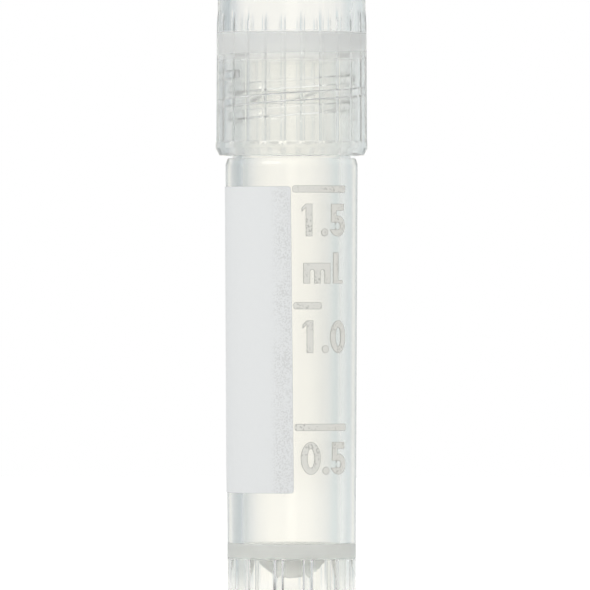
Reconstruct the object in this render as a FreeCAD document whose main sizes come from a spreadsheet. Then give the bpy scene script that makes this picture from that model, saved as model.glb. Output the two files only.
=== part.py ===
import FreeCAD, Part
import math
import os
import re
import Sketcher

# Self-standing cryogenic vial with an external-thread screw cap, closed.
# +Z is up, the vial's axis is Z, and the origin is the centre of the ring that it stands on.
# Millimetres and degrees. Turns are measured from the front, which faces -Y, towards +X.

os.makedirs("parts", exist_ok=True)
doc = FreeCAD.newDocument("cryovial")
vec = FreeCAD.Vector
sheet = doc.addObject("Spreadsheet::Sheet", "sizes")

SIZES = [
    # tube: bore and walls
    ("bore_mouth_diameter", 8.2),
    ("bore_floor_diameter", 8.0),
    ("body_wall_top", 1.35),
    ("body_wall_foot", 1.3),
    ("neck_wall", 0.75),
    # tube: heights
    ("foot_straight", 5.0),
    ("shoulder_height", 35.8),
    ("shoulder_rise", 0.5),
    ("shoulder_inset", 0.17),
    ("neck_length", 8.5),
    ("mouth_bevel", 0.15),
    # tube: bottom, a shallow bowl over a hollow skirt
    ("skirt_depth", 3.4),
    ("skirt_wall", 0.85),
    ("dome_hang", 1.6),
    ("dome_radius", 2.9),
    ("floor_thickness", 1.1),
    ("bowl_rise", 1.8),
    ("foot_rounding", 0.15),
    ("foot_rib_count", 12),
    ("foot_rib_width", 0.8),
    ("foot_rib_depth", 0.6),
    ("foot_rib_lift", 0.25),
    ("foot_rib_turn", 16.8),
    # screw thread, one start, right-handed
    ("thread_lead", 2.2),
    ("neck_thread_lift", 2.25),
    ("neck_thread_turns", 2.0),
    ("neck_thread_depth", 0.4),
    ("neck_thread_root", 1.0),
    ("neck_thread_crest", 0.6),
    ("cap_thread_turns", 1.6),
    ("cap_thread_root", 0.9),
    ("cap_thread_crest", 0.45),
    ("thread_crest_gap", 0.1),
    ("thread_root_gap", 0.2),
    # cap
    ("cap_foot_gap", 0.25),
    ("cap_wall", 0.67),
    ("cap_wall_taper", 0.035),
    ("cap_entry_bevel", 0.15),
    ("rim_step", 0.13),
    ("rim_height", 1.1),
    ("rim_bevel_rise", 0.6),
    ("rim_bevel_depth", 0.285),
    ("collar_height", 1.5),
    ("cap_top_rounding", 0.4),
    ("web_thickness", 1.05),
    ("recess_depth", 3.35),
    ("recess_wall", 0.985),
    ("recess_rounding", 0.3),
    ("grip_rib_count", 24),
    ("grip_rib_width", 0.4),
    ("grip_rib_inset", 0.02),
    ("grip_rib_top_depth", 0.105),
    ("grip_rib_ramp", 1.05),
    ("grip_rib_turn", 8.5),
    # seal ring
    ("seal_thickness", 0.8),
    ("seal_width", 1.4),
    ("seal_gap", 0.05),
    # ink: the writing panel, the graduation lines and the numerals
    ("ink_thickness", 0.05),
    ("panel_drop", 1.83),
    ("panel_foot_margin", 8.85),
    ("panel_edge_turn", 0.7),
    ("panel_sweep", 119.0),
    ("panel_rounding", 0.25),
    ("print_slant", 0.56),
    ("line_drop", 2.05),
    ("line_upper_step", 9.55),
    ("line_lower_step", 9.95),
    ("line_width", 0.58),
    ("line_start_turn", 1.2),
    ("line_long_sweep", 52.5),
    ("line_short_sweep", 25.3),
    ("line_rounding", 0.2),
    ("digit_drop", 1.2),
    ("digit_height", 2.67),
    ("digit_width", 1.7),
    ("digit_stroke", 0.56),
    ("digit_flag", 0.34),
    ("point_diameter", 0.64),
    ("first_digit_turn", 16.2),
    ("point_turn", 30.8),
    ("last_digit_turn", 44.8),
    ("unit_drop", 1.31),
    ("unit_height", 2.55),
    ("unit_low_height", 1.69),
    ("unit_m_width", 2.4),
    ("unit_foot", 0.5),
    ("unit_m_turn", 23.5),
    ("unit_l_turn", 42.3),
]

# What follows from the sizes above.
FORMULAS = [
    ("bore_mouth_radius", "bore_mouth_diameter / 2"),
    ("bore_floor_radius", "bore_floor_diameter / 2"),
    ("body_radius", "bore_mouth_radius + body_wall_top"),
    ("foot_radius", "bore_floor_radius + body_wall_foot"),
    ("shoulder_top", "shoulder_height + shoulder_rise"),
    ("shoulder_top_radius", "body_radius - shoulder_inset"),
    ("neck_radius", "bore_mouth_radius + neck_wall"),
    ("mouth_height", "shoulder_top + neck_length"),
    ("dome_bottom", "skirt_depth - dome_hang"),
    ("floor_height", "dome_bottom + floor_thickness"),
    ("floor_edge_height", "floor_height + bowl_rise"),
    ("skirt_radius", "foot_radius - skirt_wall"),
    ("foot_rib_radius", "skirt_radius - foot_rib_depth"),
    ("foot_rib_height", "skirt_depth - foot_rib_lift + floor_thickness / 2"),
    ("neck_crest_radius", "neck_radius + neck_thread_depth"),
    ("neck_thread_base", "shoulder_top + neck_thread_lift"),
    ("cap_bore_radius", "neck_crest_radius + thread_root_gap"),
    ("cap_crest_radius", "neck_radius + thread_crest_gap"),
    ("cap_thread_base", "neck_thread_base + thread_lead * (0.5 + grip_rib_turn / 360)"),
    ("cap_bottom", "shoulder_top + cap_foot_gap"),
    ("web_bottom", "mouth_height + seal_thickness"),
    ("web_top", "web_bottom + web_thickness"),
    ("cap_top", "web_top + recess_depth"),
    ("cap_radius", "cap_bore_radius + cap_wall"),
    ("rim_radius", "cap_radius + rim_step"),
    ("rim_top", "cap_bottom + rim_height"),
    ("rim_bottom_radius", "rim_radius - rim_bevel_depth"),
    ("rim_bevel_top", "cap_bottom + rim_bevel_rise"),
    ("collar_radius", "cap_radius - cap_wall_taper"),
    ("collar_bottom", "cap_top - collar_height"),
    ("recess_radius", "collar_radius - recess_wall"),
    ("grip_rib_top_radius", "collar_radius + grip_rib_top_depth"),
    ("grip_rib_ramp_bottom", "collar_bottom - grip_rib_ramp"),
    ("seal_radius", "cap_bore_radius - seal_gap"),
    ("seal_hole_radius", "seal_radius - seal_width"),
    ("panel_top", "shoulder_height - panel_drop"),
    ("upper_line", "shoulder_height - line_drop"),
    ("middle_line", "upper_line - line_upper_step"),
    ("lower_line", "middle_line - line_lower_step"),
]

for row, (name, value) in enumerate(SIZES, start=1):
    sheet.set("A%d" % row, name)
    sheet.set("B%d" % row, str(value))
    sheet.setAlias("B%d" % row, name)
for row, (name, formula) in enumerate(FORMULAS, start=len(SIZES) + 2):
    sheet.set("A%d" % row, name)
    sheet.set("B%d" % row, "=" + formula)
    sheet.setAlias("B%d" % row, name)
doc.recompute()


def size(name):
    return float(sheet.get(name))


def bound(formula):
    # names on the sheet all have an underscore, functions have none
    return re.sub(r"\b[a-z]+(?:_[a-z]+)+\b", r"sizes.\g<0>", formula)


def value_of(formula):
    sheet.set("D1", "=" + formula)
    sheet.recompute()
    return float(sheet.get("D1"))


def bind(thing, **formulas):
    for prop, formula in formulas.items():
        thing.setExpression(prop.replace("__", "."), bound(formula))


def new_body(name):
    body = doc.addObject("PartDesign::Body", name)
    body.Label = name
    return body


def origin_feature(body, role):
    return [f for f in body.Origin.OriginFeatures if f.Role == role][0]


def bowl_arc(low, edge):
    # arc about the Z axis's foot: from the low point on the axis out to the edge
    rise = edge.y - low.y
    centre = low.y + (edge.x**2 + rise**2) / (2 * rise)
    reach = centre - low.y
    angle = math.atan2(edge.y - centre, edge.x)
    circle = Part.Circle(vec(0, centre, 0), vec(0, 0, 1), reach)
    return Part.ArcOfCircle(circle, -math.pi / 2, angle)


def outline(body, name, role, corners, bowls=()):
    # closed sketch through the corners, each bound to the sheet; an edge listed in bowls
    # is an arc whose centre is on the vertical axis
    sketch = body.newObject("Sketcher::SketchObject", name)
    sketch.AttachmentSupport = [(origin_feature(body, role), "")]
    sketch.MapMode = "FlatFace"
    points = [vec(value_of(across), value_of(up), 0) for across, up in corners]
    count = len(points)
    first = []
    last = []
    for i in range(count):
        here = points[i]
        there = points[(i + 1) % count]
        if i in bowls:
            outward = here.x < there.x
            low, edge = (here, there) if outward else (there, here)
            sketch.addGeometry(bowl_arc(low, edge), False)
            first.append(1 if outward else 2)
            last.append(2 if outward else 1)
        else:
            sketch.addGeometry(Part.LineSegment(here, there), False)
            first.append(1)
            last.append(2)
    for i in range(count):
        after = (i + 1) % count
        sketch.addConstraint(Sketcher.Constraint("Coincident", i, last[i], after, first[after]))
    for i in bowls:
        sketch.addConstraint(Sketcher.Constraint("PointOnObject", i, 3, -2))
    for i, (across, up) in enumerate(corners):
        if across == "0":
            sketch.addConstraint(Sketcher.Constraint("PointOnObject", i, first[i], -2))
        else:
            c = Sketcher.Constraint("DistanceX", -1, 1, i, first[i], points[i].x)
            index = sketch.addConstraint(c)
            sketch.renameConstraint(index, "across_%d" % i)
            sketch.setExpression("Constraints.across_%d" % i, bound(across))
        if up == "0":
            sketch.addConstraint(Sketcher.Constraint("PointOnObject", i, first[i], -1))
        else:
            c = Sketcher.Constraint("DistanceY", -1, 1, i, first[i], points[i].y)
            index = sketch.addConstraint(c)
            sketch.renameConstraint(index, "up_%d" % i)
            sketch.setExpression("Constraints.up_%d" % i, bound(up))
    return sketch


def turn_section(sketch, turn):
    # swings an upright section about the vertical axis
    sketch.AttachmentOffset = FreeCAD.Placement(vec(0, 0, 0), FreeCAD.Rotation(vec(0, 1, 0), size(turn)))
    sketch.setExpression("AttachmentOffset.Rotation.Angle", bound(turn))


def revolve(body, name, sketch):
    turned = body.newObject("PartDesign::Revolution", name)
    turned.Profile = sketch
    turned.ReferenceAxis = (sketch, ["V_Axis"])
    turned.Angle = 360
    return turned


def thread(body, name, sketch, turns):
    ridge = body.newObject("PartDesign::AdditiveHelix", name)
    ridge.Profile = sketch
    ridge.ReferenceAxis = (sketch, ["V_Axis"])
    ridge.Mode = "pitch-turns-angle"
    bind(ridge, Pitch="thread_lead", Turns=turns)
    return ridge


def around(body, name, feature, count):
    pattern = body.newObject("PartDesign::PolarPattern", name)
    pattern.Originals = [feature]
    pattern.Axis = (origin_feature(body, "Z_Axis"), [""])
    pattern.Angle = 360
    bind(pattern, Occurrences=count)
    body.Tip = pattern
    return pattern


def ring_edges(feature, radius, height):
    # names of the level circular edges of that radius at that height
    found = []
    for i, edge in enumerate(feature.Shape.Edges, start=1):
        if edge.Degenerated or not isinstance(edge.Curve, Part.Circle):
            continue
        curve = edge.Curve
        if abs(curve.Axis.z) < 0.999:
            continue
        if abs(curve.Radius - radius) < 0.001 and abs(curve.Center.z - height) < 0.001:
            found.append("Edge%d" % i)
    return found


def fillet(body, name, feature, places, radius):
    doc.recompute()
    edges = []
    for reach, height in places:
        edges += ring_edges(feature, size(reach), size(height) if height else 0.0)
    rounding = body.newObject("PartDesign::Fillet", name)
    rounding.Base = (feature, edges)
    bind(rounding, Radius=radius)
    return rounding


# ---------------------------------------------------------------- tube, one moulding
tube = new_body("vial_tube")
tube_section = outline(
    tube,
    "tube_section",
    "XZ_Plane",
    [
        ("foot_radius", "0"),
        ("foot_radius", "foot_straight"),
        ("body_radius", "shoulder_height"),
        ("shoulder_top_radius", "shoulder_top"),
        ("neck_radius", "shoulder_top"),
        ("neck_radius", "mouth_height - mouth_bevel"),
        ("neck_radius - mouth_bevel", "mouth_height"),
        ("bore_mouth_radius + mouth_bevel", "mouth_height"),
        ("bore_mouth_radius", "mouth_height - mouth_bevel"),
        ("bore_floor_radius", "floor_edge_height"),
        ("0", "floor_height"),
        ("0", "dome_bottom"),
        ("dome_radius", "skirt_depth"),
        ("skirt_radius", "skirt_depth"),
        ("skirt_radius", "0"),
    ],
    bowls=(9, 11),
)
tube_turned = revolve(tube, "tube_turned", tube_section)
tube_rounded = fillet(tube, "tube_rounded", tube_turned, [("foot_radius", None)], "foot_rounding")

# the ribs inside the skirt grip the pins of a rack; they run up into the floor
rib_section = outline(
    tube,
    "foot_rib_section",
    "XY_Plane",
    [
        ("foot_rib_radius", "-foot_rib_width / 2"),
        ("skirt_radius + skirt_wall / 2", "-foot_rib_width / 2"),
        ("skirt_radius + skirt_wall / 2", "foot_rib_width / 2"),
        ("foot_rib_radius", "foot_rib_width / 2"),
    ],
)
rib_section.setExpression("AttachmentOffset.Base.z", bound("foot_rib_lift"))
rib_section.setExpression("AttachmentOffset.Rotation.Angle", bound("foot_rib_turn"))
foot_rib = tube.newObject("PartDesign::Pad", "foot_rib")
foot_rib.Profile = rib_section
bind(foot_rib, Length="foot_rib_height")
foot_ribs = around(tube, "foot_ribs", foot_rib, "foot_rib_count")

neck_ridge = outline(
    tube,
    "neck_thread_section",
    "XZ_Plane",
    [
        ("neck_radius - neck_wall / 4", "neck_thread_base - neck_thread_root / 2"),
        ("neck_radius", "neck_thread_base - neck_thread_root / 2"),
        ("neck_crest_radius", "neck_thread_base - neck_thread_crest / 2"),
        ("neck_crest_radius", "neck_thread_base + neck_thread_crest / 2"),
        ("neck_radius", "neck_thread_base + neck_thread_root / 2"),
        ("neck_radius - neck_wall / 4", "neck_thread_base + neck_thread_root / 2"),
    ],
)
neck_thread = thread(tube, "neck_thread", neck_ridge, "neck_thread_turns")
tube.Tip = neck_thread

# ---------------------------------------------------------------- cap, one moulding
cap = new_body("screw_cap")
cap_section = outline(
    cap,
    "cap_section",
    "XZ_Plane",
    [
        ("cap_bore_radius + cap_entry_bevel", "cap_bottom"),
        ("rim_bottom_radius", "cap_bottom"),
        ("rim_radius", "rim_bevel_top"),
        ("rim_radius", "rim_top"),
        ("cap_radius", "rim_top + rim_step / 2"),
        ("collar_radius", "collar_bottom"),
        ("collar_radius", "cap_top"),
        ("recess_radius", "cap_top"),
        ("recess_radius", "web_top"),
        ("0", "web_top"),
        ("0", "web_bottom"),
        ("cap_bore_radius", "web_bottom"),
        ("cap_bore_radius", "cap_bottom + cap_entry_bevel"),
    ],
)
cap_turned = revolve(cap, "cap_turned", cap_section)
cap_top_rounded = fillet(
    cap, "cap_top_rounded", cap_turned, [("collar_radius", "cap_top"), ("recess_radius", "cap_top")], "cap_top_rounding"
)
cap_rounded = fillet(cap, "cap_rounded", cap_top_rounded, [("recess_radius", "web_top")], "recess_rounding")

# grip ribs: all but flush with the rim below, and ramped into the smooth collar above
grip_section = outline(
    cap,
    "grip_rib_section",
    "XZ_Plane",
    [
        ("collar_radius - cap_wall / 2", "rim_top - rim_step"),
        ("rim_radius - grip_rib_inset", "rim_top - rim_step"),
        ("grip_rib_top_radius", "grip_rib_ramp_bottom"),
        ("collar_radius - grip_rib_inset", "collar_bottom - grip_rib_inset"),
        ("collar_radius - cap_wall / 2", "collar_bottom - grip_rib_inset"),
    ],
)
turn_section(grip_section, "grip_rib_turn")
grip_rib = cap.newObject("PartDesign::Pad", "grip_rib")
grip_rib.Profile = grip_section
grip_rib.Midplane = True
bind(grip_rib, Length="grip_rib_width")
grip_ribs = around(cap, "grip_ribs", grip_rib, "grip_rib_count")

cap_ridge = outline(
    cap,
    "cap_thread_section",
    "XZ_Plane",
    [
        ("cap_bore_radius + cap_wall / 4", "cap_thread_base - cap_thread_root / 2"),
        ("cap_bore_radius + cap_wall / 4", "cap_thread_base + cap_thread_root / 2"),
        ("cap_bore_radius", "cap_thread_base + cap_thread_root / 2"),
        ("cap_crest_radius", "cap_thread_base + cap_thread_crest / 2"),
        ("cap_crest_radius", "cap_thread_base - cap_thread_crest / 2"),
        ("cap_bore_radius", "cap_thread_base - cap_thread_root / 2"),
    ],
)
cap_thread = thread(cap, "cap_thread", cap_ridge, "cap_thread_turns")
turn_section(cap_ridge, "grip_rib_turn")
cap.Tip = cap_thread

# ---------------------------------------------------------------- seal ring under the cap's web
seal = new_body("seal_washer")
seal_section = outline(
    seal,
    "seal_section",
    "XZ_Plane",
    [
        ("seal_hole_radius", "mouth_height"),
        ("seal_radius", "mouth_height"),
        ("seal_radius", "web_bottom"),
        ("seal_hole_radius", "web_bottom"),
    ],
)
seal_turned = revolve(seal, "seal_turned", seal_section)


# ---------------------------------------------------------------- ink on the tube's wall
def wall_radius(height):
    # the body's outer wall is straight at the foot and one cone from there to the shoulder
    share = max(0.0, height - size("foot_straight")) / (size("shoulder_height") - size("foot_straight"))
    return size("foot_radius") + (size("body_radius") - size("foot_radius")) * share


def ink_band(low, high):
    # ring of ink on the wall between two heights
    lower = wall_radius(low)
    upper = wall_radius(high)
    ink = size("ink_thickness")
    base = vec(0, 0, low)
    outer = Part.makeCone(lower + ink, upper + ink, high - low, base)
    return outer.cut(Part.makeCone(lower, upper, high - low, base))


def side_of(turn, middle, keeps_right):
    # half space beside a slanting plane through the wall at that turn
    reach = 4 * size("body_radius")
    block = Part.makeBox(reach, 2 * reach, 4 * size("shoulder_height"))
    block.translate(vec(0 if keeps_right else -reach, -reach, -2 * size("shoulder_height")))
    block.rotate(vec(0, 0, 0), vec(0, 1, 0), -size("print_slant"))
    block.translate(vec(0, 0, middle))
    block.rotate(vec(0, 0, 0), vec(0, 0, 1), turn)
    return block


def ink_patch(low, high, start, sweep, rounding):
    # ink between two heights and two turns, with rounded corners
    middle = (panel_low + size("panel_top")) / 2
    patch = ink_band(low, high).common(side_of(start, middle, True)).common(side_of(start + sweep, middle, False))
    ink = size("ink_thickness")
    corners = [e for e in patch.Edges if e.Length < 1.5 * ink and abs(e.tangentAt(e.FirstParameter).z) < 0.5]
    return patch.Solids[0].makeFillet(rounding, corners)


panel_low = size("panel_foot_margin")


def drift(height):
    # the whole print leans a little, so its turn changes with height
    middle = (panel_low + size("panel_top")) / 2
    return math.degrees(math.tan(math.radians(size("print_slant"))) * (middle - height) / size("body_radius"))


def plate(points):
    wire = Part.makePolygon([vec(x, 0, z) for x, z in points] + [vec(points[0][0], 0, points[0][1])])
    return Part.Face(wire)


def bar(left, bottom, right, top):
    return plate([(left, bottom), (right, bottom), (right, top), (left, top)])


def disc(x, z, radius):
    return Part.Face(Part.Wire(Part.makeCircle(radius, vec(x, 0, z), vec(0, -1, 0))))


def oval(x, z, half_width, half_height):
    curve = Part.Ellipse(vec(x, 0, z + half_height), vec(x + half_width, 0, z), vec(x, 0, z))
    return Part.Face(Part.Wire(curve.toShape()))


def one():
    stem = size("digit_stroke") / 2
    top = size("digit_height")
    flag = size("digit_flag")
    shaft = bar(-stem, 0, stem, top)
    beak = plate([(-stem, top), (-stem, top - flag), (-stem - flag, top - 2 * flag), (-stem - flag, top - flag)])
    return shaft.fuse(beak)


def zero():
    half = size("digit_width") / 2
    tall = size("digit_height") / 2
    stroke = size("digit_stroke")
    return oval(0, tall, half, tall).cut(oval(0, tall, half - stroke, tall - stroke))


def five():
    half = size("digit_width") / 2
    top = size("digit_height")
    stroke = size("digit_stroke")
    belly = disc(0, half, half).cut(disc(0, half, half - stroke))
    belly = belly.cut(bar(-half, half - stroke / 2, -stroke / 2, half + stroke))
    spine = bar(-half + stroke / 4, half + stroke / 2, -half + 5 * stroke / 4, top)
    head = bar(-half + stroke / 4, top - stroke, half - stroke / 4, top)
    return belly.fuse(spine).fuse(head)


def point():
    return disc(0, size("point_diameter") / 2, size("point_diameter") / 2)


def letter_m():
    half = size("unit_m_width") / 2
    top = size("unit_low_height")
    stroke = size("digit_stroke")
    slot = (2 * half - 3 * stroke) / 2
    form = bar(-half, 0, half, top)
    for left in (-half + stroke, -half + 2 * stroke + slot):
        arch = disc(left + slot / 2, top - stroke - slot / 2, slot / 2)
        form = form.cut(bar(left, 0, left + slot, top - stroke - slot / 2)).cut(arch)
    return form


def letter_l():
    stem = size("digit_stroke") / 2
    shaft = bar(-stem, 0, stem, size("unit_height"))
    return shaft.fuse(bar(-stem, 0, stem + size("unit_foot"), stem))


def stamped(form, turn, bottom, height):
    # a flat form pressed through the band of ink at that turn
    middle = bottom + height / 2
    near = wall_radius(middle) / 2
    pieces = form.extrude(vec(0, -wall_radius(middle), 0)).Solids
    block = pieces[0].multiFuse(pieces[1:]).removeSplitter() if len(pieces) > 1 else pieces[0]
    block.translate(vec(0, -near, bottom))
    block.rotate(vec(0, 0, 0), vec(0, 0, 1), size(turn) + drift(middle))
    return block.common(ink_band(bottom - height / 10, bottom + 1.1 * height))


def ink(name, solids):
    node = doc.addObject("Part::Feature", name)
    node.Label = name
    node.Shape = solids[0] if len(solids) == 1 else Part.makeCompound(solids)
    node.Placement = FreeCAD.Placement(vec(0, 0, 0), FreeCAD.Rotation(vec(0, 0, 1), 0))
    return node


# the panel's right-hand edge faces the front, and the panel runs round to the left
panel = ink_patch(
    panel_low,
    size("panel_top"),
    size("panel_edge_turn") - size("panel_sweep"),
    size("panel_sweep"),
    size("panel_rounding"),
)
writing_panel = ink("writing_panel", [panel])

LINES = [
    ("upper_line", "line_long_sweep"),
    ("middle_line", "line_short_sweep"),
    ("lower_line", "line_long_sweep"),
]
lines = []
for height_name, sweep_name in LINES:
    at = size(height_name)
    half_width = size("line_width") / 2
    start = size("line_start_turn") + size("panel_edge_turn")
    lines.append(ink_patch(at - half_width, at + half_width, start, size(sweep_name), size("line_rounding")))
graduation_lines = ink("graduation_lines", lines)

DIGITS = [
    ("upper_line", [(one, "first_digit_turn"), (point, "point_turn"), (five, "last_digit_turn")]),
    ("middle_line", [(one, "first_digit_turn"), (point, "point_turn"), (zero, "last_digit_turn")]),
    ("lower_line", [(zero, "first_digit_turn"), (point, "point_turn"), (five, "last_digit_turn")]),
]
marks = []
for height_name, row in DIGITS:
    foot = size(height_name) - size("digit_drop") - size("digit_height")
    for draw, turn in row:
        marks.append(stamped(draw(), turn, foot, size("digit_height")))
unit_foot = size("upper_line") - size("digit_drop") - size("digit_height") - size("unit_drop") - size("unit_height")
marks.append(stamped(letter_m(), "unit_m_turn", unit_foot, size("unit_low_height")))
marks.append(stamped(letter_l(), "unit_l_turn", unit_foot, size("unit_height")))
graduation_numerals = ink("graduation_numerals", marks)

# ---------------------------------------------------------------- check and write
doc.recompute()
NODES = [tube, cap, seal, writing_panel, graduation_lines, graduation_numerals]
faults = []
for thing in doc.Objects:
    if "Invalid" in thing.State or "Error" in thing.State:
        faults.append("%s: %s" % (thing.Name, thing.State))
for node in NODES:
    if node.Shape.isNull() or not node.Shape.isValid():
        faults.append("%s: no valid shape" % node.Label)
if faults:
    raise RuntimeError("; ".join(faults))
for node in NODES:
    node.Shape.exportStep("parts/%s.step" % node.Label)
    box = node.Shape.BoundBox
    print(
        "%-20s solids %2d volume %9.3f  z %.3f..%.3f"
        % (node.Label, len(node.Shape.Solids), node.Shape.Volume, box.ZMin, box.ZMax)
    )
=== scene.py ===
import bmesh
import bpy
import math
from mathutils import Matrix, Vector


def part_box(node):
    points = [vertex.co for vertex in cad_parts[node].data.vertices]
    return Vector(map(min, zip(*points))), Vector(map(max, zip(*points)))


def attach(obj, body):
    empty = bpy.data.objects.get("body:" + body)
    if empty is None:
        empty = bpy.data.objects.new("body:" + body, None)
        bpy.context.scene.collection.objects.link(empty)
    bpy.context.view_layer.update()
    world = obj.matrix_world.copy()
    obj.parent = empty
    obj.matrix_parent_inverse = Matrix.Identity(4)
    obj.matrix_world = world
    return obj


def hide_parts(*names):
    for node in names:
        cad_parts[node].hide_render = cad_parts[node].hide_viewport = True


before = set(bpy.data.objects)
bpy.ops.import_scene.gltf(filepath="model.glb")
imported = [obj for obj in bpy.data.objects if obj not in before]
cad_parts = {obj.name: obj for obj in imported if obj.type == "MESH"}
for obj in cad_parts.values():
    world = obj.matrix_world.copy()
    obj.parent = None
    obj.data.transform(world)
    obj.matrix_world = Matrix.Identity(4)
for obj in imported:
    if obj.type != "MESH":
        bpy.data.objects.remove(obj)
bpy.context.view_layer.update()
scene = bpy.context.scene
perMetre = 1000  # the pieces are drawn in millimetres and finished in metres


def nodeBox(node):
    low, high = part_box(node)
    return Vector(low) * perMetre, Vector(high) * perMetre


tubeLow, tubeHigh = nodeBox("vial_tube")
capLow, capHigh = nodeBox("screw_cap")
sealLow, sealHigh = nodeBox("seal_washer")
print("frame loaded")


def turnOf(co):
    return math.degrees(math.atan2(co.y, co.x))


# ring by ring shaping, shared by the moulded pieces
levelReach = 0.001  # heights closer than this count as one level, in millimetres
wallReach = 0.01  # and places this near a wall's radius as on the wall


def softened(corners, segments=4):
    # corners are (radius, height, rounding); a rounding above 0 turns the corner into an arc
    points = []
    for i, (radius, height, rounding) in enumerate(corners):
        here = Vector((radius, height))
        if not rounding or i in (0, len(corners) - 1):
            points.append(here)
            continue
        back = (Vector(corners[i - 1][:2]) - here).normalized()
        ahead = (Vector(corners[i + 1][:2]) - here).normalized()
        half = back.angle(ahead) / 2
        centre = here + (back + ahead).normalized() * rounding / math.sin(half)
        start, end = (here + way * rounding / math.tan(half) - centre for way in (back, ahead))
        first = math.atan2(start.y, start.x)
        sweep = (math.atan2(end.y, end.x) - first + math.pi) % math.tau - math.pi
        for step in range(segments + 1):
            turn = first + sweep * step / segments
            points.append(centre + rounding * Vector((math.cos(turn), math.sin(turn))))
    return points


def bowl(edgeRadius, edgeHeight, lowHeight, segments):
    # arc centred on the axis, from just inside its edge down towards its lowest point
    lastStep = 0.08  # of a segment, so that the last ring stays open round the axis
    rise = edgeHeight - lowHeight
    reach = (edgeRadius**2 + rise**2) / (2 * rise)
    spread = math.atan2(edgeRadius, reach - rise)
    arc = []
    for step in range(segments - 1, -1, -1):
        turn = spread * max(step, lastStep) / segments
        arc.append(Vector((reach * math.sin(turn), lowHeight + reach - reach * math.cos(turn))))
    return arc


def settleOrder(bm):
    # operators leave edges and faces in an order that changes from run to run, so it is set here
    orders = (
        (bm.verts, lambda v: v.co[:]),
        (bm.edges, lambda e: sorted(v.index for v in e.verts)),
        (bm.faces, lambda f: sorted(v.index for v in f.verts)),
    )
    for parts, key in orders:
        for i, part in enumerate(sorted(parts, key=key)):
            part.index = i
        parts.sort()


def threadedWall(bm, wall, bottom, top, ridge):
    # a strip one lead tall is spun up the screw past both ends, and the ends are cut level
    mergeReach, cutReach = 0.004, 0.0001
    lead = ridge["lead"]
    low, high = ridge["lowFlank"], ridge["highFlank"]
    strip = softened(
        [
            (wall, 0, 0),
            (wall, lead / 2 + low["root"], low["rounding"]),
            (ridge["crestRadius"], lead / 2 + low["crest"], low["rounding"]),
            (ridge["crestRadius"], lead / 2 + high["crest"], high["rounding"]),
            (wall, lead / 2 + high["root"], high["rounding"]),
            (wall, lead, 0),
        ],
        segments=3,
    )
    start = ridge["columnTurn"]
    base = ridge["height"] + lead * (start - ridge["turn"]) / 360 - lead / 2
    base -= lead * math.ceil((base - bottom) / lead + 1)
    direction = Vector((math.cos(math.radians(start)), math.sin(math.radians(start))))
    verts = [bm.verts.new((*(direction * p.x), base + p.y)) for p in strip]
    edges = [bm.edges.new(pair) for pair in zip(verts, verts[1:])]
    bmesh.ops.spin(
        bm,
        geom=verts + edges,
        cent=(0, 0, 0),
        axis=(0, 0, 1),
        dvec=(0, 0, lead / ridge["columns"]),
        angle=math.tau,
        steps=ridge["columns"],
        use_merge=False,
    )
    settleOrder(bm)
    oneTurn = bm.verts[:] + bm.edges[:] + bm.faces[:]
    for rounds in range(1, math.ceil((top - base) / lead)):
        again = bmesh.ops.duplicate(bm, geom=oneTurn)["geom"]
        again = [v for v in again if isinstance(v, bmesh.types.BMVert)]
        bmesh.ops.translate(bm, vec=(0, 0, lead * rounds), verts=again)
    bmesh.ops.remove_doubles(bm, verts=bm.verts, dist=mergeReach)
    for v in bm.verts:  # the ridge fades out at both of its ends
        radius = v.co.xy.length
        turn = turnOf(v.co) - ridge["turn"]
        turn += 360 * round((v.co.z - ridge["height"]) / lead - turn / 360)
        share = min(turn, 360 * ridge["turns"] - turn) / ridge["fade"]
        share = min(max(share, 0), 1)
        share *= share * (3 - 2 * share)
        v.co.xy *= (wall + (radius - wall) * share) / radius
    for height, keepAbove in ((bottom, True), (top, False)):
        bmesh.ops.bisect_plane(
            bm,
            geom=bm.verts[:] + bm.edges[:] + bm.faces[:],
            dist=cutReach,
            plane_co=(0, 0, height),
            plane_no=(0, 0, 1),
            clear_inner=keepAbove,
            clear_outer=not keepAbove,
        )
        settleOrder(bm)


def openRing(bm, height):
    return [
        e
        for e in bm.edges
        if len(e.link_faces) == 1 and all(abs(v.co.z - height) < levelReach for v in e.verts)
    ]


def pullRing(bm, ring, radius, height):
    # carries an open ring of edges on to the next radius and height
    made = bmesh.ops.extrude_edge_only(bm, edges=ring)["geom"]
    verts = [v for v in made if isinstance(v, bmesh.types.BMVert)]
    share = radius / verts[0].co.xy.length
    bmesh.ops.scale(bm, vec=(share, share, 1), verts=verts)
    bmesh.ops.translate(bm, vec=(0, 0, height - verts[0].co.z), verts=verts)
    fresh = set(verts)
    return [e for e in made if isinstance(e, bmesh.types.BMEdge) and fresh.issuperset(e.verts)]


def pullWall(bm, ring, points):
    for radius, height in points:
        ring = pullRing(bm, ring, radius, height)
    return ring


def closeRing(bm, ring):
    bmesh.ops.edgeloop_fill(bm, edges=ring)


def fromRib(turn, ribs):
    # degrees from the middle of the nearest rib
    pitch = 360 / ribs["count"]
    return (turn - ribs["turn"] + pitch / 2) % pitch - pitch / 2


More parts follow.
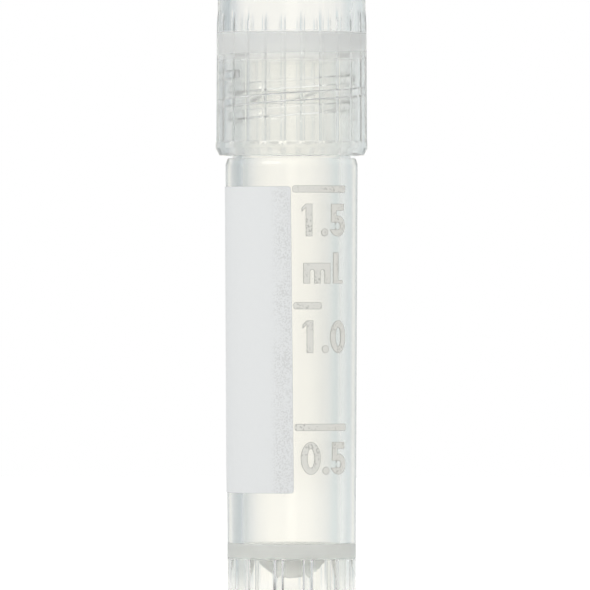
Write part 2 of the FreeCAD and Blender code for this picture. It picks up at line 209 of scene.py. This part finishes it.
def raiseRibs(bm, faces, radiusAt, ribs):
    # pulls strips of wall in or out to the radius that radiusAt gives for a place on the wall
    mergeReach = 0.002
    made = bmesh.ops.extrude_face_region(bm, geom=faces)["geom"]
    bmesh.ops.delete(bm, geom=faces, context="FACES")
    for v in made:
        if not isinstance(v, bmesh.types.BMVert):
            continue
        radius = radiusAt(v.co)
        if abs(radius - v.co.xy.length) < mergeReach:
            continue
        turn = turnOf(v.co)
        aside = fromRib(turn, ribs)
        drop = ribs["crown"] * abs(aside / ribs["halfWidth"]) ** ribs["crownPower"]
        radius -= (radius - v.co.xy.length) * drop
        turn = math.radians(turn - aside * (1 - ribs["crestShare"]))
        v.co.xy = Vector((math.cos(turn), math.sin(turn))) * radius
    settleOrder(bm)
    bmesh.ops.remove_doubles(bm, verts=bm.verts, dist=mergeReach)


def finishPiece(bm, name, body, material, replaced, sharpAngle=40):
    # sharpAngle in degrees: flatter edges are shaded smooth
    settleOrder(bm)
    bmesh.ops.recalc_face_normals(bm, faces=bm.faces)
    bmesh.ops.scale(bm, vec=(1 / perMetre,) * 3, verts=bm.verts)
    for f in bm.faces:
        f.smooth = True
    for e in bm.edges:
        e.smooth = len(e.link_faces) == 2 and e.calc_face_angle() < math.radians(sharpAngle)
    openEdges = sum(len(e.link_faces) != 2 for e in bm.edges)
    mesh = bpy.data.meshes.new(name)
    bm.to_mesh(mesh)
    bm.free()
    piece = bpy.data.objects.new(name, mesh)
    scene.collection.objects.link(piece)
    mesh.materials.append(material)
    shading = piece.modifiers.new("evenShading", "WEIGHTED_NORMAL")
    shading.mode = "FACE_AREA_WITH_ANGLE"
    shading.keep_sharp = True
    shading.weight = 60  # above 50, large faces lead
    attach(piece, body)
    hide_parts(replaced)
    print(name, "made,", len(mesh.polygons), "faces,", openEdges, "open edges")


# materials
def newMaterial(name):
    material = bpy.data.materials.new(name)
    material.use_nodes = True
    return material, material.node_tree, material.node_tree.nodes["Principled BSDF"]


def objectCoords(tree):
    return tree.nodes.new("ShaderNodeTexCoord").outputs["Object"]


def separated(tree, coords):
    parts = tree.nodes.new("ShaderNodeSeparateXYZ")
    tree.links.new(coords, parts.inputs[0])
    return parts.outputs


def maths(tree, operation, *values):
    node = tree.nodes.new("ShaderNodeMath")
    node.operation = operation
    for socket, value in zip(node.inputs, values):
        if isinstance(value, (int, float)):
            socket.default_value = value
        else:
            tree.links.new(value, socket)
    return node.outputs[0]


def mixed(tree, fac, low, high):
    # low and high are colours or sockets
    mix = tree.nodes.new("ShaderNodeMix")
    mix.data_type = "RGBA"
    tree.links.new(fac, mix.inputs["Factor"])
    for socket, value in ((mix.inputs["A"], low), (mix.inputs["B"], high)):
        if isinstance(value, tuple):
            socket.default_value = (*value, 1)
        else:
            tree.links.new(value, socket)
    return mix.outputs["Result"]


def fade(tree, value, start, end):
    # 0 at start, 1 at end
    node = tree.nodes.new("ShaderNodeMapRange")
    node.interpolation_type = "SMOOTHSTEP"
    node.inputs["From Min"].default_value = start
    node.inputs["From Max"].default_value = end
    tree.links.new(value, node.inputs["Value"])
    return node.outputs["Result"]


def grain(tree, scale, detail):
    noise = tree.nodes.new("ShaderNodeTexNoise")
    noise.inputs["Scale"].default_value = scale
    noise.inputs["Detail"].default_value = detail
    tree.links.new(objectCoords(tree), noise.inputs["Vector"])
    return noise.outputs["Fac"]


def spreadOver(tree, fac, low, high):
    # most of a grain's values lie between these two ends
    grainLow, grainHigh = 0.3, 0.7
    reach = tree.nodes.new("ShaderNodeMapRange")
    reach.inputs["From Min"].default_value = grainLow
    reach.inputs["From Max"].default_value = grainHigh
    reach.inputs["To Min"].default_value = low
    reach.inputs["To Max"].default_value = high
    tree.links.new(fac, reach.inputs["Value"])
    return reach.outputs["Result"]


def bumped(tree, shader, fac, strength, distance):
    bump = tree.nodes.new("ShaderNodeBump")
    bump.inputs["Strength"].default_value = strength
    bump.inputs["Distance"].default_value = distance
    tree.links.new(fac, bump.inputs["Height"])
    tree.links.new(bump.outputs["Normal"], shader.inputs["Normal"])


def mattAndShadeZone(tree, zone):
    # 1 between two radii from the axis, fading in and out over its end heights, all in millimetres
    parts = separated(tree, objectCoords(tree))
    across = [maths(tree, "POWER", parts[axis], 2) for axis in "XY"]
    radius = maths(tree, "SQRT", maths(tree, "ADD", *across))
    inner, outer = (r / perMetre for r in zone["radii"])
    inside = maths(tree, "COMPARE", radius, (inner + outer) / 2, (outer - inner) / 2)
    above = fade(tree, parts["Z"], *(z / perMetre for z in zone["low"]))
    below = fade(tree, parts["Z"], *(z / perMetre for z in zone["high"]))
    return maths(tree, "MULTIPLY", inside, maths(tree, "MULTIPLY", above, below))


def clearPlastic(name, look):
    # clear with a little haze; matt zones are rougher, and those with a clearness are milky too;
    # the grey colours of the tube's floor and dome and of the cap's web band are painted shade
    patchShare = (0.75, 1)  # how much of a zone's matt finish and painted shade its weakest and strongest patches get
    material, tree, shader = newMaterial(name)
    shader.inputs["IOR"].default_value = look["ior"]
    shader.inputs["Transmission Weight"].default_value = look["clearness"]
    haze = tree.nodes.new("ShaderNodeVolumeScatter")
    haze.inputs["Color"].default_value = (*look["hazeColour"], 1)
    haze.inputs["Density"].default_value = look["haze"]
    haze.inputs["Anisotropy"].default_value = look["hazeForward"]
    tree.links.new(haze.outputs[0], tree.nodes["Material Output"].inputs["Volume"])
    cloud = grain(tree, look["cloudScale"], detail=3)
    colour = mixed(tree, cloud, *look["colours"])
    roughness = spreadOver(tree, cloud, *look["roughness"])
    clearness = None
    patches = grain(tree, look["patchScale"], detail=1)
    for zone in look["mattAndShade"]:
        mattAndShade = maths(tree, "MULTIPLY", mattAndShadeZone(tree, zone), spreadOver(tree, patches, *patchShare))
        rough = maths(tree, "MULTIPLY", mattAndShade, zone["roughness"])
        roughness = maths(tree, "MAXIMUM", roughness, rough)
        if "clearness" not in zone:
            continue
        # a zone's colour makes the plastic milky; where it is grey, it is painted shade
        colour = mixed(tree, mattAndShade, colour, zone["colour"])
        loss = maths(tree, "MULTIPLY", mattAndShade, look["clearness"] - zone["clearness"])
        before = look["clearness"] if clearness is None else clearness
        clearness = maths(tree, "SUBTRACT", before, loss)
    if clearness is not None:
        tree.links.new(clearness, shader.inputs["Transmission Weight"])
    tree.links.new(colour, shader.inputs["Base Color"])
    tree.links.new(roughness, shader.inputs["Roughness"])
    waves = grain(tree, look["waveScale"], detail=2)
    bumped(tree, shader, waves, look["waveStrength"], look["waveDepth"])
    return material


tubeLook = {
    "ior": 1.49,
    "haze": 38,
    "hazeColour": (0.99, 0.99, 0.99),
    "hazeForward": 0.8,
    "clearness": 0.992,
    "colours": ((1.0, 0.994, 0.972), (1.0, 0.998, 0.98)),
    "roughness": (0.04, 0.08),
    # floor and dome zones: rough and milky, and their grey colours are painted shade of the thick
    # floor
    "mattAndShade": (
        {
            "radii": (0, 7),
            "low": (3.3, 3.6),
            "high": (4.74, 4.64),
            "roughness": 0.4,
            "clearness": 0.55,
            "colour": (0.845, 0.86, 0.82),
        },
        {
            "radii": (0, 3.0),
            "low": (1.6, 1.7),
            "high": (3.5, 3.4),
            "roughness": 0.35,
            "clearness": 0.8,
            "colour": (0.8, 0.81, 0.79),
        },
    ),
    "cloudScale": 420,
    "patchScale": 200,
    "waveScale": 260,
    "waveStrength": 0.07,
    "waveDepth": 0.00004,
}
capLook = {
    "ior": 1.49,
    "haze": 40,
    "hazeColour": (0.99, 0.99, 0.99),
    "hazeForward": 0.8,
    "clearness": 0.99,
    "colours": ((0.995, 0.998, 0.99), (1.0, 1.0, 0.995)),
    "roughness": (0.05, 0.1),
    "mattAndShade": (
        # web band: rough and milky, its grey colour painted shade
        {
            "radii": (5.6, 7),
            "low": (43.8, 45.2),
            "high": (46.85, 46.5),
            "roughness": 0.35,
            "clearness": 0.4,
            "colour": (0.86, 0.87, 0.85),
        },
        {"radii": (0, 5.42), "low": (45.5, 45.55), "high": (46.7, 46.66), "roughness": 0.4},
        {
            "radii": (5.6, 7),
            "low": (36, 36.5),
            "high": (45.2, 43.8),
            "roughness": 0,
            "clearness": 0.86,
            "colour": (0.95, 0.955, 0.94),
        },
    ),
    "cloudScale": 380,
    "patchScale": 170,
    "waveScale": 300,
    "waveStrength": 0.2,
    "waveDepth": 0.00004,
}
tubePlastic = clearPlastic("tubePlastic", tubeLook)
capPlastic = clearPlastic("capPlastic", capLook)

sealLook = {
    "ior": 1.41,
    "haze": 30,
    "hazeColour": (0.97, 0.98, 0.97),
    "hazeForward": 0.7,
    "clearness": 0.998,
    "colours": ((0.985, 0.99, 0.98), (1.0, 1.0, 0.99)),
    "roughness": (0.08, 0.12),
    "mattAndShade": (),
    "cloudScale": 500,
    "patchScale": 200,
    "waveScale": 600,
    "waveStrength": 0.3,
    "waveDepth": 0.00003,
}
sealSilicone = clearPlastic("sealSilicone", sealLook)

panelLook = {
    "colours": ((0.785, 0.8, 0.8), (0.68, 0.69, 0.685)),
    "rimColour": (0.58, 0.59, 0.58),
    "roughness": 0.7,
    "speckleScale": 7500,
    "speckleEdges": (0.45, 0.6),
    "patchScale": 600,
    "patchEdges": (0.2, 0.55),
    "patchSide": (-1.9, -1.0),  # the speckle fades in between these X, in millimetres
    "grainStrength": 0.4,
    "grainDepth": 0.00001,
}
numeralLook = {
    "colours": ((0.77, 0.765, 0.715), (0.52, 0.52, 0.48)),
    "rimColour": (0.46, 0.46, 0.42),
    "roughness": 0.6,
    "speckleScale": 6000,
    "speckleEdges": (0.5, 0.62),
    "patchScale": 500,
    "patchEdges": (0.4, 0.62),
    "patchSide": (-9, -8),
    "grainStrength": 0.4,
    "grainDepth": 0.00001,
}


def printInk(name, look):
    # speckled in patches, with a darker rim
    rimEdges = (0.1, 0.9)
    material, tree, shader = newMaterial(name)
    dots = fade(tree, grain(tree, look["speckleScale"], detail=2), *look["speckleEdges"])
    patches = fade(tree, grain(tree, look["patchScale"], detail=2), *look["patchEdges"])
    aside = separated(tree, objectCoords(tree))["X"]
    side = fade(tree, aside, *(x / perMetre for x in look["patchSide"]))
    speckle = maths(tree, "MULTIPLY", dots, maths(tree, "MULTIPLY", patches, side))
    ink = mixed(tree, speckle, *look["colours"])
    rim = tree.nodes.new("ShaderNodeAttribute")
    rim.attribute_name = "rim"
    ink = mixed(tree, fade(tree, rim.outputs["Fac"], *rimEdges), ink, look["rimColour"])
    tree.links.new(ink, shader.inputs["Base Color"])
    shader.inputs["Roughness"].default_value = look["roughness"]
    bumped(tree, shader, dots, look["grainStrength"], look["grainDepth"])
    return material


panelInk = printInk("panelInk", panelLook)
numeralInk = printInk("numeralInk", numeralLook)
print("materials made")

# tube: foot, body, threaded neck and bore in one moulding
vialTube = {
    "inkRelief": 0.012,  # the wall stays this far behind the ink
    "footRadius": tubeHigh.x - 0.15,
    "bodyRadius": tubeHigh.x,
    "straightHeight": 5.0,
    "shoulderHeight": 35.8,
    "shoulderRounding": 0.12,
    "shoulderTop": 36.3,
    "shoulderTopRadius": 5.28,
    "shoulderTopRounding": 0.08,
    "neckRadius": 4.85,
    "boreRadius": 4.1,
    "boreFloorRadius": 4.0,
    "mouthBevel": 0.15,
    "mouthRounding": 0.06,
    "floorEdge": 4.7,
    "floorHeight": 2.9,
    "floorSteps": 16,
    "skirtRadius": 4.45,
    "skirtDepth": 3.4,
    "skirtRounding": 0.06,
    "domeRadius": 2.9,
    "domeBottom": 1.8,
    "domeSteps": 12,
    "footRounding": 0.15,
    "ribs": {  # turns in degrees
        "count": 12,
        "turn": 16.8,
        "halfWidth": 5.25,
        "crestShare": 0.95,  # the crest's width against the root's
        "crown": 0.5,  # how far the crest's edges drop
        "crownPower": 3,
        "radius": 3.85,
        "lift": 0.25,
    },
}
threadLead = 2.2
threadHeight = 38.55  # middle of both threads' ridges at turn 0
neckRidge = {
    "lead": threadLead,
    "crestRadius": 5.25,
    "lowFlank": {"root": -0.44, "crest": -0.3, "rounding": 0.03},  # heights from the ridge's middle
    "highFlank": {"root": 0.36, "crest": 0.28, "rounding": 0.09},
    "height": threadHeight + threadLead * 150 / 360,  # the ridge's middle where it starts
    "turn": 150,  # where it starts, in degrees
    "turns": 1.58,
    "fade": 14,  # degrees in which each end fades out
    "columns": 480,
    "columnTurn": 1.05,  # where the first column of points stands, in degrees
}


def makeTube():
    t = vialTube
    bm = bmesh.new()
    threadedWall(bm, t["neckRadius"], t["shoulderTop"], tubeHigh.z - t["mouthBevel"], neckRidge)
    body = t["bodyRadius"] - t["inkRelief"]
    foot = t["footRadius"] - t["inkRelief"]
    outside = softened(
        [
            (t["neckRadius"], t["shoulderTop"], 0),
            (t["shoulderTopRadius"], t["shoulderTop"], t["shoulderTopRounding"]),
            (body, t["shoulderHeight"], t["shoulderRounding"]),
            (foot, t["straightHeight"], 0),
            (foot, tubeLow.z, t["footRounding"]),
            (t["skirtRadius"], tubeLow.z, t["skirtRounding"]),
            (t["skirtRadius"], t["ribs"]["lift"], 0),
            (t["skirtRadius"], t["skirtDepth"], 0),
            (t["domeRadius"], t["skirtDepth"], 0),
        ]
    )
    dome = bowl(t["domeRadius"], t["skirtDepth"], t["domeBottom"], t["domeSteps"])
    closeRing(bm, pullWall(bm, openRing(bm, t["shoulderTop"]), outside[1:] + dome))
    mouth = tubeHigh.z
    inside = softened(
        [
            (t["neckRadius"], mouth - t["mouthBevel"], 0),
            (t["neckRadius"] - t["mouthBevel"], mouth, t["mouthRounding"]),
            (t["boreRadius"] + t["mouthBevel"], mouth, t["mouthRounding"]),
            (t["boreRadius"], mouth - t["mouthBevel"], 0),
            (t["boreFloorRadius"], t["floorEdge"], 0),
        ]
    )
    well = bowl(t["boreFloorRadius"], t["floorEdge"], t["floorHeight"], t["floorSteps"])
    closeRing(bm, pullWall(bm, openRing(bm, mouth - t["mouthBevel"]), inside[1:] + well))
    ribs = t["ribs"]

    def behindRib(middle):
        return abs(fromRib(turnOf(middle), ribs)) < ribs["halfWidth"]

    def inRib(f):
        middle = f.calc_center_median()
        onWall = abs(middle.xy.length - t["skirtRadius"]) < wallReach
        return onWall and ribs["lift"] < middle.z < t["skirtDepth"] and behindRib(middle)

    def overRib(f):
        middle = f.calc_center_median()
        onCeiling = t["domeRadius"] < middle.xy.length < t["skirtRadius"]
        return onCeiling and abs(middle.z - t["skirtDepth"]) < levelReach and behindRib(middle)

    raiseRibs(bm, [f for f in bm.faces if inRib(f)], lambda co: ribs["radius"], ribs)
    ceiling = [f for f in bm.faces if overRib(f)]  # refilled round the tops of the ribs
    bmesh.ops.delete(bm, geom=ceiling, context="FACES")
    bmesh.ops.holes_fill(bm, edges=openRing(bm, t["skirtDepth"]))
    finishPiece(bm, "vialTube", "tube", tubePlastic, "vial_tube")


makeTube()

# cap: rim, ribbed wall, smooth collar, open recess, web and inner thread in one moulding
screwCap = {
    "boreRadius": 5.45,
    "entryBevel": 0.15,
    "rimRadius": capHigh.x,
    "rimInset": 0.285,
    "rimInsetRounding": 0.08,
    "rimBevelRise": 0.6,
    "rimRounding": 0.1,
    "rimRise": 1.1,
    "wallRise": 0.065,  # from the rim's top edge to the foot of the wall
    "wallRadius": 6.12,
    "rampRadius": 6.088,
    "collarRadius": 6.085,
    "collarDepth": 1.5,
    "topRounding": 0.4,
    "recessRadius": 5.1,
    "recessDepth": 3.35,
    "webBottom": sealHigh.z,
    "sealInnerRadius": 4.0,
    "hubRadius": 0.3,  # last ring before the web is closed
    "ribs": {  # turns in degrees, low and high are the crest's radius at the rib's two ends
        "count": 24,
        "turn": 8.5,
        "halfWidth": 1.875,
        "crestShare": 0.65,
        "crown": 0.35,
        "crownPower": 2,
        "low": 6.23,
        "high": 6.19,
        "ramp": 1.05,
    },
}
capRidge = {
    "lead": threadLead,
    "crestRadius": 5.1,
    "lowFlank": {"root": -0.36, "crest": -0.28, "rounding": 0.06},
    "highFlank": {"root": 0.36, "crest": 0.28, "rounding": 0.06},
    "height": threadHeight + threadLead * (0.5 + 8.5 / 360),  # half a lead up from the neck's ridge
    "turn": 8.5,
    "turns": 1.6,
    "fade": 14,
    "columns": 192,
    "columnTurn": 1.0,
}


def makeCap():
    c = screwCap
    bm = bmesh.new()
    bottom, top = capLow.z, capHigh.z
    rimTop = bottom + c["rimRise"]
    collar = top - c["collarDepth"]
    ribs = c["ribs"]
    rampLow = collar - ribs["ramp"]
    wallLow = rimTop + c["wallRise"]
    recessFloor = top - c["recessDepth"]
    threadedWall(bm, c["boreRadius"], bottom + c["entryBevel"], c["webBottom"], capRidge)
    outside = softened(
        [
            (c["boreRadius"], bottom + c["entryBevel"], 0),
            (c["boreRadius"] + c["entryBevel"], bottom, 0),
            (c["rimRadius"] - c["rimInset"], bottom, c["rimInsetRounding"]),
            (c["rimRadius"], bottom + c["rimBevelRise"], c["rimRounding"]),
            (c["rimRadius"], rimTop, 0),
            (c["wallRadius"], wallLow, 0),
            (c["rampRadius"], rampLow, 0),
            (c["collarRadius"], collar, 0),
            (c["collarRadius"], top, c["topRounding"]),
            (c["recessRadius"], top, c["topRounding"]),
            (c["recessRadius"], recessFloor, 0),
            (c["hubRadius"], recessFloor, 0),
        ],
        segments=5,
    )
    closeRing(bm, pullWall(bm, openRing(bm, bottom + c["entryBevel"]), outside[1:]))
    underWeb = [(c["sealInnerRadius"], c["webBottom"]), (c["hubRadius"], c["webBottom"])]
    closeRing(bm, pullWall(bm, openRing(bm, c["webBottom"]), underWeb))

    def inRib(f):
        middle = f.calc_center_median()
        onWall = middle.xy.length > c["collarRadius"] - wallReach and rimTop < middle.z < collar
        return onWall and abs(fromRib(turnOf(middle), ribs)) < ribs["halfWidth"]

    def crest(co):
        if co.z < wallLow - wallReach or co.z > collar - wallReach:
            return co.xy.length
        share = (co.z - wallLow) / (rampLow - wallLow)
        return ribs["low"] + (ribs["high"] - ribs["low"]) * share

    raiseRibs(bm, [f for f in bm.faces if inRib(f)], crest, ribs)
    finishPiece(bm, "screwCap", "cap", capPlastic, "screw_cap")


makeCap()

# silicone ring between the tube's mouth and the cap's web
sealRing = {"outerRadius": sealHigh.x, "innerRadius": 4.0, "rounding": 0.12, "steps": 160}


def makeSeal():
    s = sealRing
    middle = (sealLow.z + sealHigh.z) / 2
    bm = bmesh.new()
    section = softened(
        [
            (s["innerRadius"], middle, 0),
            (s["innerRadius"], sealLow.z, s["rounding"]),
            (s["outerRadius"], sealLow.z, s["rounding"]),
            (s["outerRadius"], sealHigh.z, s["rounding"]),
            (s["innerRadius"], sealHigh.z, s["rounding"]),
            (s["innerRadius"], middle, 0),
        ],
        segments=3,
    )[:-1]
    verts = [bm.verts.new((radius, 0, height)) for radius, height in section]
    edges = [bm.edges.new(pair) for pair in zip(verts, verts[1:] + verts[:1])]
    bmesh.ops.spin(
        bm,
        geom=verts + edges,
        cent=(0, 0, 0),
        axis=(0, 0, 1),
        angle=math.tau,
        steps=s["steps"],
        use_merge=True,
    )
    finishPiece(bm, "sealRing", "seal", sealSilicone, "seal_washer")


makeSeal()


# ink: smooth copies of the printed shapes, with a rim just inside their outlines
inkShapes = {"panelRim": 0.06, "graduationRim": 0.07, "sharpAngle": 30}


def makeInk(node, name, slot, material, rimWidth):
    mergeReach = 0.0005
    facingOut = 0.7  # faces on the front of the ink look this much away from the axis
    bm = bmesh.new()
    bm.from_mesh(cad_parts[node].data)
    bmesh.ops.scale(bm, vec=(perMetre,) * 3, verts=bm.verts)
    bmesh.ops.remove_doubles(bm, verts=bm.verts, dist=mergeReach)
    bmesh.ops.dissolve_degenerate(bm, edges=bm.edges, dist=mergeReach)
    bm.normal_update()
    front = []
    for f in bm.faces:
        outward = f.calc_center_median().xy.normalized()
        if f.normal.xy.dot(outward) > facingOut:
            front.append(f)
    bmesh.ops.inset_region(bm, faces=front, thickness=rimWidth, use_even_offset=True)
    rim = bm.verts.layers.float.new("rim")
    inner = {v for f in front for v in f.verts}
    for v in bm.verts:
        v[rim] = 0 if v in inner else 1
    finishPiece(bm, name, "tube", material, node, inkShapes["sharpAngle"])


makeInk("writing_panel", "writingPanel", "panel_ink", panelInk, inkShapes["panelRim"])
graduations = ("graduation_ink", numeralInk, inkShapes["graduationRim"])
makeInk("graduation_lines", "graduationLines", *graduations)
makeInk("graduation_numerals", "graduationNumerals", *graduations)

# studio
studio = {
    "floorSize": 1.2,
    "floorColour": (0.8, 0.8, 0.8),
    "floorRoughness": 0.9,
    "floorSheen": 0.1,
    "floorGlow": 0.5,  # only the camera sees it
    "worldLight": 0.78,
    "worldWhite": (1.0, 1.0, 1.0),
    "roofColour": (1.0, 1.0, 0.99),
    "roofFade": (0.5, 0.75),  # from the tent's sides to its roof, by the Z of the ray's direction
    "underVial": (0.005, 0.004),  # metres from the axis; the floor inside has the roof's colour, which the first card greys as a painted shadow
    "cardGlow": 1.06,
    # parts of rings on the floor that only clear plastic shows: reach is where they fade in and out
    # in metres from the axis, bearing the same in degrees as in the tent
    "floorCards": (
        # the first card is a painted shadow: grey floor under the vial, seen only through clear
        # plastic
        {
            "reach": ((-0.002, -0.001), (0.005, 0.004)),
            "bearing": ((-190, -185), (190, 185)),
            "colour": (0.55, 0.55, 0.54),
            "share": 1,
        },
        {
            "reach": ((0.007, 0.01), (0.08, 0.06)),
            "bearing": ((-66, -56), (66, 56)),
            "colour": (1.0, 1.0, 0.98),
            "share": 0.75,
        },
        {
            "reach": ((0.025, 0.032), (0.09, 0.07)),
            "bearing": ((60, 70), (130, 122)),
            "colour": (1.0, 1.0, 0.98),
            "share": 1,
        },
        {
            "reach": ((0.025, 0.032), (0.09, 0.07)),
            "bearing": ((-130, -122), (-60, -70)),
            "colour": (1.0, 1.0, 0.98),
            "share": 0.7,
        },
        {
            "reach": ((0.0052, 0.0062), (0.075, 0.055)),
            "bearing": ((150, 156), (190, 185)),
            "colour": (0.07, 0.07, 0.07),
            "share": 1,
        },
        {
            "reach": ((0.0052, 0.0062), (0.075, 0.055)),
            "bearing": ((-190, -185), (-150, -156)),
            "colour": (0.07, 0.07, 0.07),
            "share": 1,
        },
    ),
    # degrees from straight behind, clockwise from above, and the tent's colour there
    "tent": (
        (-180, (0.95, 0.95, 0.93)),
        (-173, (0.95, 0.95, 0.93)),
        (-166, (0.60, 0.63, 0.65)),
        (-104, (0.60, 0.63, 0.65)),
        (-97, (1.0, 1.0, 0.98)),
        (-83, (1.0, 1.0, 0.98)),
        (-76, (0.66, 0.69, 0.71)),
        (-62, (0.62, 0.66, 0.69)),
        (-48, (0.51, 0.56, 0.575)),
        (-28, (0.55, 0.595, 0.60)),
        (-18, (0.70, 0.72, 0.73)),
        (-5, (1.0, 0.985, 0.93)),
        (3, (1.0, 0.985, 0.93)),
        (12, (0.775, 0.79, 0.78)),
        (20, (0.66, 0.73, 0.74)),
        (30, (0.66, 0.72, 0.735)),
        (50, (0.80, 0.83, 0.82)),
        (62, (0.76, 0.785, 0.785)),
        (76, (0.64, 0.66, 0.67)),
        (83, (1.0, 1.0, 0.98)),
        (97, (1.0, 1.0, 0.98)),
        (104, (0.60, 0.63, 0.65)),
        (166, (0.60, 0.63, 0.65)),
        (173, (0.95, 0.95, 0.93)),
        (180, (0.95, 0.95, 0.93)),
    ),
}
lamps = (
    {
        "name": "keyLamp",
        "place": (-0.25, -0.3, 0.4),
        "aim": (0, 0, 0.025),
        "size": 0.3,
        "power": 0.65,
    },
    {
        "name": "topLamp",
        "place": (0.1, 0.1, 0.5),
        "aim": (0, 0, 0),
        "size": 0.4,
        "power": 0.8,
    },
)
view = {
    "distance": 0.9,
    "width": 0.04852,
    "height": 0.02508,
    "aside": 0.00028,
    "sensor": 36,
    "nearest": 0.01,
    "furthest": 10,
}


def bearingOf(tree, parts):
    # radians from straight behind, clockwise from above
    return maths(tree, "ARCTAN2", parts["X"], parts["Y"])


def tentColour(tree, bearing, overhead):
    # the tent's cards by their bearing from the vial, and its roof where overhead is 1
    share = maths(tree, "MULTIPLY_ADD", bearing, 1 / math.tau, 0.5)
    ramp = tree.nodes.new("ShaderNodeValToRGB")
    tree.links.new(share, ramp.inputs["Fac"])
    stops = ramp.color_ramp.elements
    cards = studio["tent"]
    while len(stops) < len(cards):
        stops.new(0.5)
    for stop, (degrees, colour) in zip(stops, cards):
        stop.position = (degrees + 180) / 360
        stop.color = (*colour, 1)
    return mixed(tree, overhead, ramp.outputs["Color"], studio["roofColour"])


def clearRays(tree):
    # 1 for the camera's own rays, and 1 for rays that only clear plastic has turned
    path = tree.nodes.new("ShaderNodeLightPath").outputs
    clear = maths(tree, "MAXIMUM", path["Is Glossy Ray"], path["Is Transmission Ray"])
    neverDiffuse = maths(tree, "LESS_THAN", path["Diffuse Depth"], 0.5)
    return path["Is Camera Ray"], maths(tree, "MULTIPLY", clear, neverDiffuse)


def makeFloor():
    bm = bmesh.new()
    bmesh.ops.create_grid(bm, x_segments=1, y_segments=1, size=studio["floorSize"] / 2)
    mesh = bpy.data.meshes.new("floor")
    bm.to_mesh(mesh)
    bm.free()
    floor = bpy.data.objects.new("floor", mesh)
    scene.collection.objects.link(floor)
    material, tree, shader = newMaterial("paleFloor")
    shader.inputs["Base Color"].default_value = (*studio["floorColour"], 1)
    shader.inputs["Roughness"].default_value = studio["floorRoughness"]
    shader.inputs["Specular IOR Level"].default_value = studio["floorSheen"]
    camera, clear = clearRays(tree)
    coords = objectCoords(tree)
    apart = tree.nodes.new("ShaderNodeVectorMath")
    apart.operation = "LENGTH"
    tree.links.new(coords, apart.inputs[0])
    radius = apart.outputs["Value"]
    bearing = bearingOf(tree, separated(tree, coords))
    colour = tentColour(tree, bearing, fade(tree, radius, *studio["underVial"]))
    for card in studio["floorCards"]:
        ring = [fade(tree, radius, *ends) for ends in card["reach"]]
        wedge = [fade(tree, bearing, *map(math.radians, ends)) for ends in card["bearing"]]
        share = maths(tree, "MULTIPLY", maths(tree, "MULTIPLY", *wedge), card["share"])
        share = maths(tree, "MULTIPLY", share, maths(tree, "MULTIPLY", *ring))
        colour = mixed(tree, share, colour, card["colour"])
    glow = tree.nodes.new("ShaderNodeEmission")
    glow.inputs["Strength"].default_value = studio["cardGlow"]
    tree.links.new(colour, glow.inputs["Color"])
    seen = tree.nodes.new("ShaderNodeMixShader")
    tree.links.new(clear, seen.inputs["Fac"])
    tree.links.new(shader.outputs[0], seen.inputs[1])
    tree.links.new(glow.outputs[0], seen.inputs[2])
    tree.links.new(seen.outputs[0], tree.nodes["Material Output"].inputs["Surface"])
    shader.inputs["Emission Color"].default_value = (1, 1, 1, 1)
    ownGlow = maths(tree, "MULTIPLY", camera, studio["floorGlow"])
    tree.links.new(ownGlow, shader.inputs["Emission Strength"])
    mesh.materials.append(material)


def makeWorld():
    world = bpy.data.worlds.new("lightTent")
    scene.world = world
    world.use_nodes = True
    tree = world.node_tree
    tree.nodes.clear()
    coords = tree.nodes.new("ShaderNodeTexCoord")
    parts = separated(tree, coords.outputs["Generated"])
    camera, clear = clearRays(tree)
    tent = tentColour(tree, bearingOf(tree, parts), fade(tree, parts["Z"], *studio["roofFade"]))
    colour = mixed(tree, clear, (studio["worldLight"],) * 3, tent)
    colour = mixed(tree, camera, colour, studio["worldWhite"])
    background = tree.nodes.new("ShaderNodeBackground")
    tree.links.new(colour, background.inputs["Color"])
    out = tree.nodes.new("ShaderNodeOutputWorld")
    tree.links.new(background.outputs[0], out.inputs["Surface"])


def makeLamp(name, place, aim, size, power):
    data = bpy.data.lights.new(name, "AREA")
    data.shape = "SQUARE"
    data.size = size
    data.energy = power
    lamp = bpy.data.objects.new(name, data)
    lamp.location = place
    lamp.rotation_euler = (Vector(aim) - Vector(place)).to_track_quat("-Z", "Y").to_euler()
    scene.collection.objects.link(lamp)


def makeCamera():
    data = bpy.data.cameras.new("camera")
    data.sensor_width = view["sensor"]
    data.lens = view["sensor"] * view["distance"] / view["width"]
    data.clip_start = view["nearest"]
    data.clip_end = view["furthest"]
    camera = bpy.data.objects.new("camera", data)
    camera.location = (view["aside"], -view["distance"], view["height"])
    camera.rotation_euler = (math.radians(90), 0, 0)
    scene.collection.objects.link(camera)
    scene.camera = camera


makeFloor()
makeWorld()
for lamp in lamps:
    makeLamp(**lamp)
makeCamera()
scene.view_settings.view_transform = "Standard"
scene.cycles.max_bounces = 32
scene.cycles.transmission_bounces = 32
scene.cycles.transparent_max_bounces = 16
scene.cycles.glossy_bounces = 8
scene.cycles.volume_bounces = 6
scene.cycles.blur_glossy = 0
print("studio ready")
